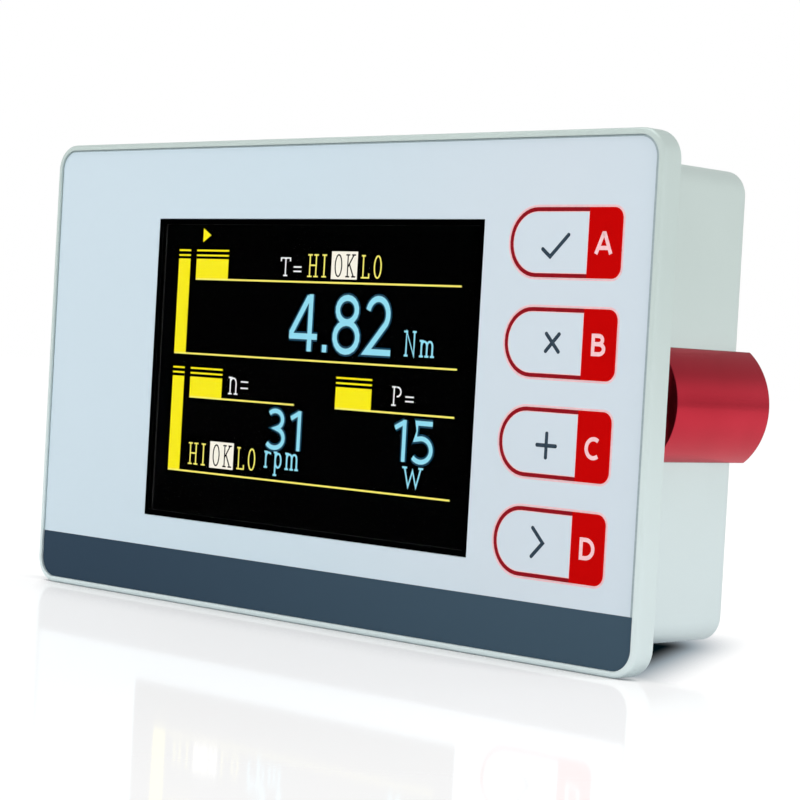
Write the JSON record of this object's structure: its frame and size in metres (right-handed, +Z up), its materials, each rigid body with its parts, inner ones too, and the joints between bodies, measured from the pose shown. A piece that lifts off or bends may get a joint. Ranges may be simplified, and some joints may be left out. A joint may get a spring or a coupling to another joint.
{
  "type": "panel meter",
  "caption": "Flush panel meter with a colour display window, a column of push keys, a shallow extruded housing, rear screw terminals and two half-round screw clamps.",
  "frame": {"origin": "middle of the box's footprint, at the underside of the bezel", "axes": "+X to the right seen from the front, +Y from the face to the rear, +Z up"},
  "size_m": [0.1404, 0.0292, 0.08],
  "materials": {
    "cast_silver": "satin",
    "housing_silver": "satin",
    "overlay_film": "fine matt",
    "clear_window": "gloss",
    "dark_glass": "gloss",
    "key_print": "fine matt",
    "black_rubber": "matt",
    "black_plastic": "moulded",
    "board_green": "solder mask",
    "ribbon": "satin",
    "brass": "turned",
    "can_metal": "drawn",
    "nickel": "nickel plated",
    "plain_steel": "zinc plated",
    "red_anodised": "anodised satin"
  },
  "bodies": {
    "root": {"bezel_frame": "cast_silver", "front_overlay": "overlay_film", "display_window": "clear_window", "window_tape": "black_rubber", "display_glass": "dark_glass", "display_tray": "plain_steel", "display_board": "board_green", "keypad_board": "board_green", "main_board": "board_green", "switch_bodies": "black_plastic", "keypad_screws": "plain_steel", "keypad_header": "black_plastic", "board_spacers": "brass", "spacer_screws": "plain_steel", "display_cable": "ribbon", "cable_sockets": "black_plastic", "power_module": "black_plastic", "alarm_relays": "black_plastic", "filter_capacitors": "can_metal", "board_chips": "black_plastic", "terminal_strip_upper": "black_plastic", "terminal_strip_lower": "black_plastic", "terminal_washers": "nickel", "terminal_screws": "nickel", "panel_gasket": "black_rubber", "housing_sleeve": "housing_silver", "rear_cover": "housing_silver", "case_screws": "plain_steel", "rail_nuts": "plain_steel", "rail_pins": "plain_steel"},
    "key_a": {"key_a": "key_print", "switch_button_a": "black_plastic"},
    "key_b": {"key_b": "key_print", "switch_button_b": "black_plastic"},
    "key_c": {"key_c": "key_print", "switch_button_c": "black_plastic"},
    "key_d": {"key_d": "key_print", "switch_button_d": "black_plastic"},
    "clamp_left": {"clamp_left": "red_anodised"},
    "clamp_screw_left": {"clamp_screw_left": "plain_steel", "screw_collar_left": "plain_steel"},
    "clamp_right": {"clamp_right": "red_anodised"},
    "clamp_screw_right": {"clamp_screw_right": "plain_steel", "screw_collar_right": "plain_steel"}
  },
  "joints": [
    {"name": "key_a_press", "type": "slide", "parent": "root", "child": "key_a", "axis": [0, 1, 0], "range_m": [0, 0.0005], "stiffness_N_per_m": 3000},
    {"name": "key_b_press", "type": "slide", "parent": "root", "child": "key_b", "axis": [0, 1, 0], "range_m": [0, 0.0005], "stiffness_N_per_m": 3000},
    {"name": "key_c_press", "type": "slide", "parent": "root", "child": "key_c", "axis": [0, 1, 0], "range_m": [0, 0.0005], "stiffness_N_per_m": 3000},
    {"name": "key_d_press", "type": "slide", "parent": "root", "child": "key_d", "axis": [0, 1, 0], "range_m": [0, 0.0005], "stiffness_N_per_m": 3000},
    {"name": "clamp_left_slide", "type": "slide", "parent": "root", "child": "clamp_left", "axis": [0, 1, 0], "range_m": [-0.001, 0.004]},
    {"name": "clamp_screw_left_turn", "type": "hinge", "parent": "clamp_left", "child": "clamp_screw_left", "pos_m": [-0.0636, 0.01452, 0.04], "axis": [0, 1, 0], "range_deg": [-720, 2880]},
    {"name": "clamp_right_slide", "type": "slide", "parent": "root", "child": "clamp_right", "axis": [0, 1, 0], "range_m": [-0.001, 0.004]},
    {"name": "clamp_screw_right_turn", "type": "hinge", "parent": "clamp_right", "child": "clamp_screw_right", "pos_m": [0.0636, 0.01452, 0.04], "axis": [0, 1, 0], "range_deg": [-720, 2880]}
  ],
  "couplings": [
    {"joint": "clamp_screw_left_turn", "follows": "clamp_left_slide", "rad_per_m": 12566},
    {"joint": "clamp_screw_right_turn", "follows": "clamp_right_slide", "rad_per_m": 12566}
  ]
}
